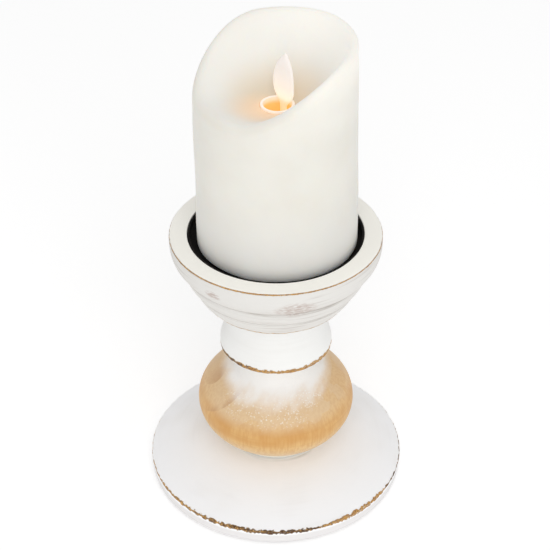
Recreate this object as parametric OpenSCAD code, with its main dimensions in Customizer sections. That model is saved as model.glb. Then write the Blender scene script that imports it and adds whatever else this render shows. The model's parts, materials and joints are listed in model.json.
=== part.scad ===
// Turned pillar candlestick with a battery candle standing in its cup.
// Millimetres, +Z up, origin on the floor under the middle of the base.

/* [Base] */
// Widest radius of the base disc
base_r = 65.8; // [60:0.2:72]
// Height of the base disc's edge
base_edge_h = 8; // [7:0.5:12]
// Rise of the base disc from its edge to the foot ring
base_rise = 11; // [8:0.5:14]
// Thickness of the felt glued under the base
felt_t = 1.5; // [1:0.25:3]

/* [Stem] */
// Radius of the bead between base and ball
foot_r = 25; // [22:0.5:27]
// Height of the bead between base and ball
foot_h = 4.5; // [3:0.5:6]
// Radius of the ball
ball_r = 40; // [36:0.5:44]
// Height of the ball, from its foot to the collar
ball_h = 55.5; // [52:0.5:60]
// Radius of the ball's neck
neck_r = 17.5; // [15:0.5:20]
// Radius of the collar's lower edge
collar_r = 28.2; // [26:0.2:31]
// Height of the collar
collar_h = 30; // [26:1:34]

/* [Cup] */
// Radius of the cup's underside
cup_foot_r = 36; // [34:0.5:38]
// Radius of the cup's rim
cup_r = 51.4; // [50:0.2:54]
// Height of the cup
cup_h = 35.2; // [34:0.2:40]
// Inner radius of the recess for the candle
recess_r = 42.5; // [41.5:0.25:44]
// Depth of the pan's floor below the rim
seat_depth = 3.8; // [3:0.2:6]
// Thickness of the pan's sheet metal
pan_t = 0.8; // [0.6:0.1:1.2]

/* [Candle] */
// Radius of the wax at its foot
wax_r = 38.7; // [37:0.1:39]
// Height of the wax at its high side
wax_h = 106; // [100:0.5:110]
// Height of the wax at its low front lip
wax_low_h = 79; // [76:0.5:84]
// Angle that the candle's front is turned from the candlestick's front
candle_turn = -51; // [-180:1:180]
// Distance that the candle stands off the cup's middle, along X
candle_off = 0.75; // [0:0.25:2]
// Radius of the hole that the flame stands in
flame_hole_r = 8.1; // [8:0.1:9.5]
// Height of that hole above the candle's foot
flame_hole_z = 72.5; // [71.5:0.5:73]
// Height of the flame's tip above the candle's foot
flame_tip_z = 98; // [96:0.5:99]

/* [Hidden] */
$fn = 96;

// Finishes
painted = "whitesmoke";
bare_wood = "burlywood";
steel = "silver";
white_plastic = "ivory";

// Heights of the stacked turned pieces
base_z = felt_t;
edge_z = base_z + base_edge_h;
foot_z = edge_z + base_rise;
ball_z = foot_z + foot_h;
collar_z = ball_z + ball_h;
cup_z = collar_z + collar_h;
rim_z = cup_z + cup_h;
seat_z = rim_z - seat_depth;
recess_z = seat_z - pan_t;

// Tie rod, its nuts and the tenons that centre the pieces on each other
rod_r = 3;
rod_hole_r = 3.25;
nut_well_r = 11;
nut_well_h = 8;
cup_well_h = 10;
washer_r = 9;
washer_t = 1.6;
nut_r = 5.75;
nut_h = 5;
tenon_r = 9;
tenon_h = 6;
tenon_gap = 0.1;
tenon_end_gap = 0.3;
soft_edge = 0.8;
collar_drop = 1.1;

// Ball: a flattened sphere whose middle stands this far above its foot
ball_half_h = 25.2;
ball_mid = 19.2;

// Pan
pan_gap = 0.2;
pan_wall_drop = 0.4;

// Candle
wax_bore_r = 34.2;
wax_roof_z = 63.2;
wax_lip = 2.4;
front_lip = 4.6;
wax_foot_edge = 1.5;
wax_draft = 1.3;
wax_lean = 1.2;
low_half_angle = 18;
high_half_angle = 118;
back_angle = 100;
back_share = 0.1;
scoop_power = 1.5;

// Candle's plastic body
core_r = 33.6;
core_wall = 1.4;
core_z = 7;
core_top_z = 62;
plate_t = 2;
plate_z = 2.4;
skirt_z = 0.6;
boss_r = 3.6;
boss_h = 14;
housing_screw_at = [[-8, 28], [-8, -28], [-29.2, 0]];
housing_screw_r = 1.2;
housing_screw_head_r = 2.6;

// Flame paddle, its pivot and its drive
flame_y = 3.5;
flame_t = 1.2;
leaf_z = 70.5;
leaf_half_w = 7.3;
stem_half_w = 2.3;
pivot_z = 58;
pivot_r = 0.4;
pivot_hole_r = 0.5;
hub_r = 1.5;
hub_half_l = 2.5;
magnet_r = 2.5;
magnet_h = 4.2;
magnet_z = 35.3;
tube_wall = 1.2;
flange_t = 1.2;
coil_z = 24;
coil_h = 9;
coil_r = 5.4;
cradle_x = 8.2;
cradle_y = [-3.2, 10.3];
cradle_wall = 1.3;

// LED lamp, leaning towards the flame
led_r = 2.5;
led_tilt = 15;
led_foot = [0, -6.6, 49];

// Cells, their tube and the twist-lock cover
cell_x = 17;
cell_y = 7.6;
cell_r = 7.2;
cell_body_h = 49.5;
cell_nub_r = 2.7;
cell_nub_h = 1;
cell_z = 5.2;
cell_gap = 0.2;
cell_wall = 1.25;
cover_x = 15;
cover_r = 16.3;
cover_z = 1.2;
cover_t = 1.6;
cover_gap = 0.2;
cover_lip = 1.2;
lug_reach = 1.2;
lug_half_w = 2.4;
lug_z = 3;
lug_h = 1.1;
open_angle = 20;
spring_wire_r = 0.3;

// Slide switch and circuit board
switch_x = -20;
switch_travel = 4;
board_t = 1.6;
board_w = 30;
board_z = 10;
board_h = 36;

// ---- Shared shapes ----

// Points from p to q, bulging sideways by sag in their middle
function bowed(p, q, sag, n = 8) =
    let (d = q - p, side = [d[1], -d[0]] / norm(d))
    [for (i = [0:n]) let (t = i / n) p + d * t + side * 4 * sag * t * (1 - t)];

// Points along a circular arc
function arc(c, r, from, to, n = 6) =
    [for (i = [0:n]) let (a = from + (to - from) * i / n) c + r * [cos(a), sin(a)]];

// Points along a cubic Bezier curve
function bezier(a, b, c, d, n = 8) =
    [for (i = [0:n]) let (t = i / n, u = 1 - t)
        a * u * u * u + b * 3 * u * u * t + c * 3 * u * t * t + d * t * t * t];

// 0 below a, 1 above b, and smooth in between
function smooth(x, a, b) = let (t = min(1, max(0, (x - a) / (b - a)))) t * t * (3 - 2 * t);

module turned(points) {
    rotate_extrude() polygon(points);
}

module ring(outer, inner, h) {
    difference() {
        cylinder(r = outer, h = h);
        translate([0, 0, -1]) cylinder(r = inner, h = h + 2);
    }
}

module block(from, to) {
    translate(from) cube(to - from);
}

// Round wire of radius r along a list of points, each ring square to the path
module wire(path, r, sides = 8) {
    last = len(path) - 1;
    rings = [for (i = [0:last])
        let (
            along = path[min(i + 1, last)] - path[max(i - 1, 0)],
            t = along / norm(along),
            side = cross(t, abs(t[2]) < 0.9 ? [0, 0, 1] : [1, 0, 0]),
            u = side / norm(side),
            v = cross(t, u)
        )
        [for (k = [0:sides - 1]) let (a = -360 * k / sides) path[i] + r * (u * cos(a) + v * sin(a))]];
    points = [for (one = rings) each one];
    walls = [for (i = [0:last - 1], k = [0:sides - 1])
        let (a = i * sides + k, b = i * sides + (k + 1) % sides)
        each [[a, b, b + sides], [a, b + sides, a + sides]]];
    polyhedron(points, concat(
        walls,
        [[for (k = [sides - 1:-1:0]) k]],
        [[for (k = [0:sides - 1]) last * sides + k]]
    ));
}

// Compression spring standing on Z, with its wire's centreline from z0 to z1
module spring(z0, z1, r0, r1, turns) {
    steps = 16 * turns;
    wire([for (i = [0:steps])
        let (t = i / steps, a = 360 * turns * t, r = r0 + (r1 - r0) * t)
        [r * cos(a), r * sin(a), z0 + (z1 - z0) * t]], spring_wire_r, 6);
}

// Puts a piece drawn about the candle's own foot where the candle stands
module in_candle() {
    translate([candle_off, 0, seat_z]) rotate([0, 0, candle_turn]) children();
}

// ---- Candlestick ----

module felt_pad() {
    color("dimgray") cylinder(r = base_r - 3.8, h = felt_t);
}

module base_disc() {
    color(painted) difference() {
        turned(concat(
            [[0, base_z]],
            arc([base_r - 1.5, base_z + 1.2], 1.2, -90, 0),
            [[base_r, edge_z - 1.4]],
            arc([base_r - soft_edge, edge_z - soft_edge], soft_edge, 0, 70),
            bowed([base_r - 2.2, edge_z + 0.4], [foot_r, foot_z], 1, 10),
            [[0, foot_z]]
        ));
        translate([0, 0, -1]) cylinder(r = rod_hole_r, h = foot_z + 2);
        translate([0, 0, base_z - 1]) cylinder(r = nut_well_r, h = nut_well_h + 1);
        translate([0, 0, foot_z - tenon_h - tenon_end_gap])
            cylinder(r = tenon_r + tenon_gap, h = tenon_h + 1);
    }
}

module foot_ring() {
    bead = foot_h / 2;
    color(painted) translate([0, 0, foot_z]) difference() {
        turned(concat([[0, 0]], arc([foot_r - bead, bead], bead, -90, 90, 12), [[0, foot_h]]));
        translate([0, 0, -1]) cylinder(r = tenon_r + tenon_gap, h = foot_h + 2);
    }
}

// Outline of the flattened sphere between two angles above its middle
function ball_arc(from, to, n) =
    [for (i = [0:n]) let (a = from + (to - from) * i / n)
        [ball_r * cos(a), ball_mid + ball_half_h * sin(a)]];

module ball() {
    foot_angle = asin(-ball_mid / ball_half_h);
    shoulder_angle = 56;
    shoulder = [ball_r * cos(shoulder_angle), ball_mid + ball_half_h * sin(shoulder_angle)];
    color(bare_wood) translate([0, 0, ball_z]) difference() {
        union() {
            turned(concat(
                [[0, 0]],
                ball_arc(foot_angle, shoulder_angle, 24),
                bezier(shoulder, shoulder + [-3.4, 1.6], [neck_r, 45.6], [neck_r, 50]),
                [[neck_r, ball_h], [0, ball_h]]
            ));
            translate([0, 0, ball_h - 0.01]) cylinder(r = tenon_r, h = tenon_h + 0.01);
            translate([0, 0, -tenon_h - foot_h]) cylinder(r = tenon_r, h = tenon_h + foot_h + 0.01);
        }
        translate([0, 0, -20]) cylinder(r = rod_hole_r, h = ball_h + 40);
    }
}

module collar() {
    waist_r = collar_r - 4;
    color(painted) translate([0, 0, collar_z]) difference() {
        union() {
            turned(concat(
                [[0, 0], [neck_r + 1, 0]],
                arc([collar_r - soft_edge, soft_edge - collar_drop], soft_edge, -90, 0),
                bezier([collar_r, 1.6], [collar_r - 0.6, 8], [waist_r, 10], [waist_r, 20]),
                bezier([waist_r, 20], [waist_r, 25], [waist_r + 0.8, 28.5], [waist_r + 2, collar_h]),
                [[0, collar_h]]
            ));
            translate([0, 0, collar_h - 0.01]) cylinder(r = tenon_r, h = tenon_h + 0.01);
        }
        translate([0, 0, -1]) cylinder(r = rod_hole_r, h = collar_h + 20);
        translate([0, 0, -1]) cylinder(r = tenon_r + tenon_gap, h = tenon_h + tenon_end_gap + 1);
    }
}

// The cup's outside: three bands that meet in two turned grooves
function cup_outline() = concat(
    arc([cup_foot_r - soft_edge, soft_edge], soft_edge, -90, -20),
    bowed([cup_foot_r + 0.1, 1], [cup_foot_r + 5.1, 9.2], 0.5),
    [[cup_foot_r + 4.7, 9.6]],
    bowed([cup_foot_r + 5.9, 10.2], [cup_foot_r + 9.8, 18.6], 0.5),
    [[cup_foot_r + 9.3, 19]],
    bezier([cup_foot_r + 10.6, 19.6], [cup_foot_r + 13.2, 23], [cup_r - 0.1, 25.4], [cup_r, 31]),
    arc([cup_r - 1, cup_h - 1], 1, 0, 90)
);

module cup() {
    floor_z = recess_z - cup_z;
    color(painted) translate([0, 0, cup_z]) difference() {
        turned(concat(
            [[0, 0]],
            cup_outline(),
            arc([recess_r + 0.5, cup_h - 0.5], 0.5, 90, 180, 3),
            [[recess_r, floor_z], [0, floor_z]]
        ));
        translate([0, 0, -1]) cylinder(r = rod_hole_r, h = cup_h);
        translate([0, 0, -1]) cylinder(r = tenon_r + tenon_gap, h = tenon_h + tenon_end_gap + 1);
        translate([0, 0, floor_z - cup_well_h]) cylinder(r = nut_well_r, h = cup_well_h + 1);
    }
}

module tie_rod() {
    rod_from = base_z + 0.7;
    rod_to = recess_z - 1.4;
    color(steel) translate([0, 0, rod_from]) cylinder(r = rod_r, h = rod_to - rod_from);
}

base_washer_z = base_z + nut_well_h - washer_t;
cup_washer_z = recess_z - cup_well_h;

module rod_washers() {
    color(steel) for (z = [base_washer_z, cup_washer_z])
        translate([0, 0, z]) ring(washer_r, rod_hole_r, washer_t);
}

module rod_nuts() {
    color(steel) for (z = [base_washer_z - nut_h, cup_washer_z + washer_t])
        translate([0, 0, z]) difference() {
            cylinder(r = nut_r, h = nut_h, $fn = 6);
            translate([0, 0, -1]) cylinder(r = rod_r, h = nut_h + 2);
        }
}

module drip_pan() {
    pan_r = recess_r - pan_gap;
    wall_top = rim_z - pan_wall_drop - recess_z;
    bend_r = 1.2;
    color("black") translate([0, 0, recess_z]) turned(concat(
        [[0, 0]],
        arc([pan_r - bend_r, bend_r], bend_r, -90, 0),
        [[pan_r, wall_top], [pan_r - pan_t, wall_top]],
        arc([pan_r - bend_r, bend_r], bend_r - pan_t, 0, -90, 3),
        [[0, pan_t]]
    ));
}

// ---- Candle: wax and plastic body ----

// Height of the wax's top edge at an angle from its front, which is the low side. It
// climbs steeply along both sides, and a little more towards the middle of the back.
function rim_height(angle) =
    wax_low_h + (wax_h - wax_low_h) * (
        (1 - back_share) * smooth(angle, low_half_angle, high_half_angle)
        + back_share * smooth(angle, back_angle, 180)
    );

// Angle from the front (-Y) to a direction, 0 to 180
function from_front(a) = abs(((a + 90 + 540) % 360) - 180);

// Outline of the wax's wall, scoop and hole at one direction: radius, height and the
// share of the candle's lean that the point takes
function wax_outline(a) =
    let (
        front = from_front(a),
        top = rim_height(front),
        lip = front_lip + (wax_lip - front_lip) * smooth(front, low_half_angle, high_half_angle),
        lip_r = wax_r - wax_draft * top / wax_h - lip,
        scoop_r0 = flame_hole_r + 0.6
    )
    concat(
        [[flame_hole_r, wax_roof_z, 0], [flame_hole_r, flame_hole_z - 0.6, 0]],
        [for (i = [0:7]) let (t = i / 7)
            [scoop_r0 + (lip_r - 1.2 - scoop_r0) * t,
                flame_hole_z + (top - 0.3 - flame_hole_z) * pow(t, scoop_power), t]],
        [for (i = [0:3]) let (b = 90 - 30 * i)
            [lip_r + lip * cos(b), top - lip + lip * sin(b), 1]],
        [[wax_r, wax_foot_edge, 1], [wax_r - wax_foot_edge, 0, 0]],
        [[wax_bore_r, 0, 0], [wax_bore_r, wax_roof_z, 0]]
    );

module wax_shell() {
    slices = 60;
    one = len(wax_outline(0));
    // the cast wax leans a little to the candlestick's left, round its upright core
    lean_angle = 180 - candle_turn;
    lean = wax_lean / wax_h * [cos(lean_angle), sin(lean_angle)];
    points = [for (i = [0:slices - 1]) let (a = 360 * i / slices) for (p = wax_outline(a))
        [p[0] * cos(a) + lean[0] * p[1] * p[2], p[0] * sin(a) + lean[1] * p[1] * p[2], p[1]]];
    faces = [for (i = [0:slices - 1], k = [0:one - 1])
        let (
            here = i * one,
            next = ((i + 1) % slices) * one,
            k1 = (k + 1) % one
        )
        each [[here + k, here + k1, next + k1], [here + k, next + k1, next + k]]];
    color("floralwhite") in_candle() polyhedron(points, faces);
}

module core_housing() {
    inner_r = core_r - core_wall;
    color(white_plastic) in_candle() difference() {
        union() {
            translate([0, 0, core_z]) ring(core_r, inner_r, core_top_z - core_z);
            translate([0, 0, core_top_z - plate_t]) cylinder(r = core_r, h = plate_t);
            // bosses for the screws: they reach down inside the base's skirt
            intersection() {
                for (p = housing_screw_at)
                    translate([p[0], p[1], plate_z + plate_t]) cylinder(r = boss_r, h = boss_h);
                union() {
                    cylinder(r = inner_r - 0.1, h = core_z);
                    translate([0, 0, core_z]) cylinder(r = core_r - 0.2, h = boss_h);
                }
            }
        }
        translate([0, 0, core_z + 1]) cylinder(r = flame_hole_r - 0.2, h = core_top_z);
        for (p = housing_screw_at)
            translate([p[0], p[1], 0]) cylinder(r = housing_screw_r + 0.05, h = boss_h + 1);
    }
}

module flame_tube() {
    outer = flame_hole_r - 0.2;
    color(white_plastic) in_candle() translate([0, 0, core_top_z]) {
        ring(outer, outer - tube_wall, flame_hole_z + 0.5 - core_top_z);
        ring(outer + 4, outer - tube_wall, flange_t);
    }
}

module base_housing() {
    bay_r = cover_r + cover_gap;
    groove_r = bay_r + lug_reach;
    color(white_plastic) in_candle() difference() {
        union() {
            translate([0, 0, plate_z]) cylinder(r = core_r, h = plate_t);
            translate([0, 0, skirt_z]) ring(core_r, core_r - core_wall, core_z - skirt_z);
            // thick rim around the battery bay
            intersection() {
                translate([cover_x, 0, 1]) cylinder(r = bay_r + 2.7, h = 4.4);
                cylinder(r = core_r - 0.3, h = core_z);
            }
        }
        translate([cover_x, 0, -1]) cylinder(r = bay_r, h = 10);
        // groove that the cover's lugs turn in, and the two notches they enter by
        translate([cover_x, 0, lug_z - cover_gap]) cylinder(r = groove_r, h = lug_h + 2 * cover_gap);
        translate([cover_x, 0, 0]) for (side = [90, 270]) rotate([0, 0, side + open_angle])
            block([10, -lug_half_w - 0.6, -1], [groove_r, lug_half_w + 0.6, lug_z + lug_h]);
        // switch slot
        block([switch_x - 1.6, -4, 0], [switch_x + 1.6, 4, 6]);
        for (p = housing_screw_at)
            translate([p[0], p[1], -1]) cylinder(r = housing_screw_r + 0.2, h = 8);
    }
}

module housing_screws() {
    head_h = 1.3;
    color(steel) in_candle() for (p = housing_screw_at) translate([p[0], p[1], plate_z]) {
        cylinder(r = housing_screw_r, h = 12);
        translate([0, 0, -head_h]) cylinder(r = housing_screw_head_r, h = head_h);
    }
}

// ---- Candle: flame and drive ----

// One side of the leaf's outline, from its neck to its tip; s is 1 or -1
leaf_tip = [1.5, flame_tip_z - leaf_z];
function leaf_side(s) =
    let (belly = [leaf_half_w * s, 10.5], neck = [stem_half_w * s, 0])
    concat(
        bezier(neck, neck + [0, 3.4], belly - [0, 6.5], belly),
        bezier(belly, belly + [0, 8], leaf_tip + [4.2 * s, -4], leaf_tip)
    );
function reversed(list) = [for (i = [len(list) - 1:-1:0]) list[i]];

// Paddle that stands above its pivot as a leaf and hangs below it as a tail
module flame() {
    tail_z = magnet_z + magnet_h;
    color("lightyellow") in_candle() translate([0, flame_y, 0]) difference() {
        union() {
            translate([0, flame_t / 2, 0]) rotate([90, 0, 0]) linear_extrude(flame_t) {
                translate([0, leaf_z]) polygon(concat(leaf_side(1), reversed(leaf_side(-1))));
                translate([-stem_half_w, tail_z])
                    square([2 * stem_half_w, leaf_z - tail_z + 0.01]);
            }
            translate([-hub_half_l, 0, pivot_z]) rotate([0, 90, 0])
                cylinder(r = hub_r, h = 2 * hub_half_l);
        }
        translate([-hub_half_l - 1, 0, pivot_z]) rotate([0, 90, 0])
            cylinder(r = pivot_hole_r, h = 2 * hub_half_l + 2);
    }
}

module flame_magnet() {
    color("dimgray") in_candle() translate([0, flame_y, magnet_z])
        cylinder(r = magnet_r, h = magnet_h);
}

module pivot_wire() {
    color(steel) in_candle() translate([-cradle_x + 0.2, flame_y, pivot_z])
        rotate([0, 90, 0]) cylinder(r = pivot_r, h = 2 * cradle_x - 0.4);
}

module flame_cradle() {
    inner_x = cradle_x - cradle_wall;
    inner_y = [cradle_y[0] + cradle_wall, cradle_y[1] - cradle_wall];
    top = core_top_z - plate_t;
    floor_top = coil_z + coil_h + 1.4;
    boss_end = hub_half_l + 0.5;
    color(white_plastic) in_candle() difference() {
        union() {
            difference() {
                block([-cradle_x, cradle_y[0], coil_z - 1], [cradle_x, cradle_y[1], top]);
                block([-inner_x, inner_y[0], floor_top], [inner_x, inner_y[1], top + 1]);
            }
            // bosses that hold the pivot wire and keep the flame in the middle
            for (side = [0, 180]) translate([0, flame_y, pivot_z]) rotate([0, 90, side])
                translate([0, 0, boss_end]) cylinder(r = 1.8, h = inner_x - boss_end + 0.5);
            // shelf that holds the lamp
            block([-4, -9, 51], [4, cradle_y[0] + 0.5, 54.5]);
        }
        translate([0, flame_y, 0]) cylinder(r = coil_r + 0.1, h = coil_z + coil_h + 0.1);
        translate([-cradle_x - 1, flame_y, pivot_z]) rotate([0, 90, 0])
            cylinder(r = pivot_r, h = 2 * cradle_x + 2);
        translate(led_foot) rotate([-led_tilt, 0, 0])
            translate([0, 0, -6]) cylinder(r = led_r + 0.1, h = 20);
        // window that lets the lamp light the flame
        block([-3, cradle_y[0] - 1, 54.5], [3, 0, top + 1]);
    }
}

module coil_bobbin() {
    color("dimgray") in_candle() translate([0, flame_y, coil_z]) difference() {
        union() {
            cylinder(r = 2.2, h = coil_h);
            for (z = [0, coil_h - 0.8]) translate([0, 0, z]) cylinder(r = coil_r, h = 0.8);
        }
        translate([0, 0, -1]) cylinder(r = 1.4, h = coil_h + 2);
    }
}

module coil_winding() {
    color("peru") in_candle() translate([0, flame_y, coil_z + 0.8])
        ring(coil_r - 0.7, 2.2, coil_h - 1.6);
}

module led_lamp() {
    color("khaki") in_candle() translate(led_foot) rotate([-led_tilt, 0, 0]) {
        cylinder(r = led_r + 0.05, h = 1.2);
        cylinder(r = led_r - 0.05, h = 6.2);
        translate([0, 0, 6.2]) sphere(r = led_r - 0.05);
    }
}

// ---- Candle: electrics ----

board_face_x = switch_x + board_t / 2;

module circuit_board() {
    color("darkgreen") in_candle()
        block([switch_x - board_t / 2, -board_w / 2, board_z],
            [board_face_x, board_w / 2, board_z + board_h]);
}

module board_parts() {
    color("dimgray") in_candle() {
        block([board_face_x, -10.5, 16], [board_face_x + 1.5, -6.5, 21]);
        block([board_face_x, 6, 15], [board_face_x + 0.6, 7.6, 18.2]);
        block([board_face_x, 10, 15], [board_face_x + 0.6, 11.6, 18.2]);
        translate([board_face_x, 9, 27]) rotate([0, 90, 0]) cylinder(r = 2.5, h = 7);
        translate([board_face_x, -9, 30]) rotate([0, 90, 0]) cylinder(r = 1.6, h = 2.4);
    }
}

// Routes of the leads: cell contacts, lamp and coil, each to the board
leads = [
    [[17, 17.9, 58.8], [15, 19.2, 58.6], [10, 20.6, 57.4], [2, 20.6, 54.6], [-7, 18, 50.6],
        [-14, 14, 46.4], [-17.4, 12.2, 43.8], [-19, 12, 43.6]],
    [[17, -17.9, 58.8], [15, -19.2, 58.6], [10, -20.6, 57.4], [2, -20.6, 54.6],
        [-7, -18, 50.6], [-14, -14, 46.4], [-17.4, -12.2, 43.8], [-19, -12, 43.6]],
    [[-1.2, -6.8, 48.9], [-1.4, -7.3, 47], [-3.4, -8, 44.4], [-8, -7.4, 42.2],
        [-13, -5.4, 40.6], [-17, -4, 40], [-19, -4, 40]],
    [[1.2, -6.8, 48.9], [1.3, -7.6, 46.6], [0, -9.4, 43.6], [-4, -10, 41],
        [-10, -9, 38.6], [-17, -7, 37], [-19, -7, 37]],
    [[-1, 2, 23.9], [-1.4, 1.6, 22.2], [-4, 0.6, 20.6], [-10, 0.4, 20.2],
        [-17, 1, 21.4], [-19, 1, 21.4]],
    [[-1, 5, 23.9], [-1.4, 5, 21.6], [-4, 5, 19], [-10, 4.6, 17.8],
        [-17, 3.4, 18.4], [-19, 3.4, 18.4]]
];

module hookup_wires() {
    color("firebrick") in_candle() for (route = leads) wire(route, 0.5, 8);
}

module switch_body() {
    color("dimgray") in_candle() difference() {
        block([switch_x - 2.6, -5.5, plate_z + plate_t], [switch_x + 2.6, 5.5, board_z]);
        block([switch_x - 1.6, -4, 0], [switch_x + 1.6, 4, plate_z + plate_t + 2]);
    }
}

module switch_knob() {
    color("black") in_candle()
        block([switch_x - 1.3, -switch_travel / 2 - 1.5, 0.9],
            [switch_x + 1.3, -switch_travel / 2 + 1.5, plate_z + plate_t + 1.5]);
}

module battery_tube() {
    outer = cell_r + cell_gap + cell_wall;
    top = core_top_z - plate_t;
    color(white_plastic) in_candle() difference() {
        translate([cell_x, 0, cell_z + 0.4]) {
            for (side = [-1, 1]) translate([0, side * cell_y, 0])
                cylinder(r = outer, h = top - cell_z - 0.4);
            translate([-outer, -cell_y, 0]) cube([2 * outer, 2 * cell_y, top - cell_z - 0.4]);
        }
        for (side = [-1, 1]) translate([cell_x, side * cell_y, 0]) {
            cylinder(r = cell_r + cell_gap, h = top - 1);
            translate([-1.2, side > 0 ? 0 : -outer - 1, top - 1.6]) cube([2.4, outer + 1, 0.6]);
        }
    }
}

// Plates at the closed end of the tube, each with a solder tag through the tube's wall
module top_contacts() {
    plate_top = core_top_z - plate_t - 1;
    color(steel) in_candle() {
        for (side = [-1, 1]) translate([cell_x, side * cell_y, plate_top - 0.4]) {
            cylinder(r = 5, h = 0.4);
            translate([-1, side > 0 ? 0 : -9.8, 0]) cube([2, 9.8, 0.4]);
        }
        translate([cell_x, cell_y, 55.9]) cylinder(r = 2, h = plate_top - 56);
    }
}

module top_spring() {
    plate_top = core_top_z - plate_t - 1;
    color(steel) in_candle() translate([cell_x, -cell_y, 0])
        spring(56.2, plate_top - 0.4 - spring_wire_r, 3, 4.2, 3);
}

module cell(side, nub_up) {
    color("steelblue") in_candle() translate([cell_x, side * cell_y, cell_z]) {
        translate([0, 0, nub_up ? 0 : cell_nub_h]) cylinder(r = cell_r, h = cell_body_h);
        translate([0, 0, nub_up ? cell_body_h - 0.01 : 0])
            cylinder(r = cell_nub_r, h = cell_nub_h + 0.01);
    }
}

module cell_a() {
    cell(1, true);
}

module cell_b() {
    cell(-1, false);
}

// ---- Candle: twist-lock battery cover ----

module battery_cover() {
    inner_r = cover_r - cover_lip;
    color(white_plastic) in_candle() translate([cover_x, 0, 0]) difference() {
        union() {
            translate([0, 0, cover_z]) cylinder(r = cover_r, h = cover_t);
            translate([0, 0, cover_z]) ring(cover_r, inner_r, lug_z + lug_h - cover_z);
            // two lugs, cut from a wider ring
            intersection() {
                translate([0, 0, lug_z]) ring(cover_r + lug_reach, inner_r, lug_h);
                for (side = [90, 270]) rotate([0, 0, side])
                    block([0, -lug_half_w, 0], [cover_r + 4, lug_half_w, 10]);
            }
        }
        // slot for a coin
        block([-10, -1.2, 0], [10, 1.2, cover_z + 0.8]);
    }
}

cover_top_z = cover_z + cover_t;

module cover_contact() {
    color(steel) in_candle() translate([cell_x, 0, cover_top_z]) {
        block([-4, -11, 0], [4, 11, 0.4]);
        translate([0, -cell_y, 0.4]) cylinder(r = 2.5, h = cell_z - cover_top_z - 0.6);
    }
}

module cover_spring() {
    color(steel) in_candle() translate([cell_x, cell_y, 0])
        spring(cover_top_z + 0.4 + spring_wire_r, cell_z - 0.1 - spring_wire_r, 3.6, 2.8, 2);
}

felt_pad();
base_disc();
foot_ring();
ball();
collar();
cup();
tie_rod();
rod_washers();
rod_nuts();
drip_pan();
pan_screws();
wax_shell();
core_housing();
flame_tube();
flame_cradle();
pivot_wire();
flame();
flame_magnet();
coil_bobbin();
coil_winding();
led_lamp();
circuit_board();
board_parts();
hookup_wires();
switch_body();
switch_knob();
battery_tube();
top_contacts();
top_spring();
cell_a();
cell_b();
base_housing();
housing_screws();
battery_cover();
cover_contact();
cover_spring();
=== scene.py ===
import json
import math

import bpy
from mathutils import Matrix, Vector, noise


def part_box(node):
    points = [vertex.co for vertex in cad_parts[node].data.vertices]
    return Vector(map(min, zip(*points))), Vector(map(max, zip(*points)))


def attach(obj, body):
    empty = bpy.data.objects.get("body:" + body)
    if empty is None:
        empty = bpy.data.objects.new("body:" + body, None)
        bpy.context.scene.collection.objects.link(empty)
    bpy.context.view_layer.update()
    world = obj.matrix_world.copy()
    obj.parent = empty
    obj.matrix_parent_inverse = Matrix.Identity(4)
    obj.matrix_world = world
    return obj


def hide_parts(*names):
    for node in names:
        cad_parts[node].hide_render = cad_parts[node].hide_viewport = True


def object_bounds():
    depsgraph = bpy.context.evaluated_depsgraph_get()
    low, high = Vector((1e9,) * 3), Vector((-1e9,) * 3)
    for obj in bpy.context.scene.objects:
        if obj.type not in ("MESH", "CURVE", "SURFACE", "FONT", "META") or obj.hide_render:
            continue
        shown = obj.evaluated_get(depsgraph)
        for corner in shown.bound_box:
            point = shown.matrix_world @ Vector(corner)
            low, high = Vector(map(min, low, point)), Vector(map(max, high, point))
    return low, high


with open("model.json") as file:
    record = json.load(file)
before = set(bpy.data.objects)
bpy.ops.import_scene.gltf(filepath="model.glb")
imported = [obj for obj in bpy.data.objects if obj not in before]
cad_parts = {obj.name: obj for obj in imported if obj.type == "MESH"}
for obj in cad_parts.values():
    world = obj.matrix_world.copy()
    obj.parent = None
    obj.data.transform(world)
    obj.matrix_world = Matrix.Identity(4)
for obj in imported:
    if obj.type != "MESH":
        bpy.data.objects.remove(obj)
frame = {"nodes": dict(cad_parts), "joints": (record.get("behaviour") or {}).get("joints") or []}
cad_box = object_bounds()
mm = 0.001

# ---- Studio ----
# A plain pale floor, one even white room and two softboxes, one above and one low in
# front. The camera is above the front of the candlestick and looks down at it.

camera_back = 596 * mm
camera_up = 548.5 * mm
camera_tilt = math.radians(54.25)
lens_mm = 98.2
sideways_shift = -0.0015

camera = bpy.data.objects.new("camera", bpy.data.cameras.new("camera"))
camera.location = (0, -camera_back, camera_up)
camera.rotation_euler = (camera_tilt, 0, 0)
camera.data.lens = lens_mm
camera.data.sensor_width = 36
camera.data.shift_x = sideways_shift
camera.data.clip_start = 10 * mm
bpy.context.collection.objects.link(camera)
bpy.context.scene.camera = camera
bpy.context.scene.view_settings.view_transform = "Standard"

floor_half = 3
floor_mesh = bpy.data.meshes.new("floor")
floor_mesh.from_pydata(
    [(x * floor_half, y * floor_half, 0) for x, y in ((-1, -1), (1, -1), (1, 1), (-1, 1))],
    [],
    [(0, 1, 2, 3)],
)
floor_paper = bpy.data.materials.new("floor_paper")
floor_paper.use_nodes = True
paper = floor_paper.node_tree.nodes["Principled BSDF"].inputs
paper["Base Color"].default_value = (0.9, 0.9, 0.9, 1)
paper["Roughness"].default_value = 0.9
paper["Specular IOR Level"].default_value = 0.0
paper["Emission Color"].default_value = (1, 1, 1, 1)
paper["Emission Strength"].default_value = 0.27
floor_mesh.materials.append(floor_paper)
floor = bpy.data.objects.new("floor", floor_mesh)
bpy.context.collection.objects.link(floor)

room = bpy.data.worlds.new("white_room")
room.use_nodes = True
room.node_tree.nodes["Background"].inputs["Color"].default_value = (1, 1, 1, 1)
room.node_tree.nodes["Background"].inputs["Strength"].default_value = 0.7
bpy.context.scene.world = room

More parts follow.
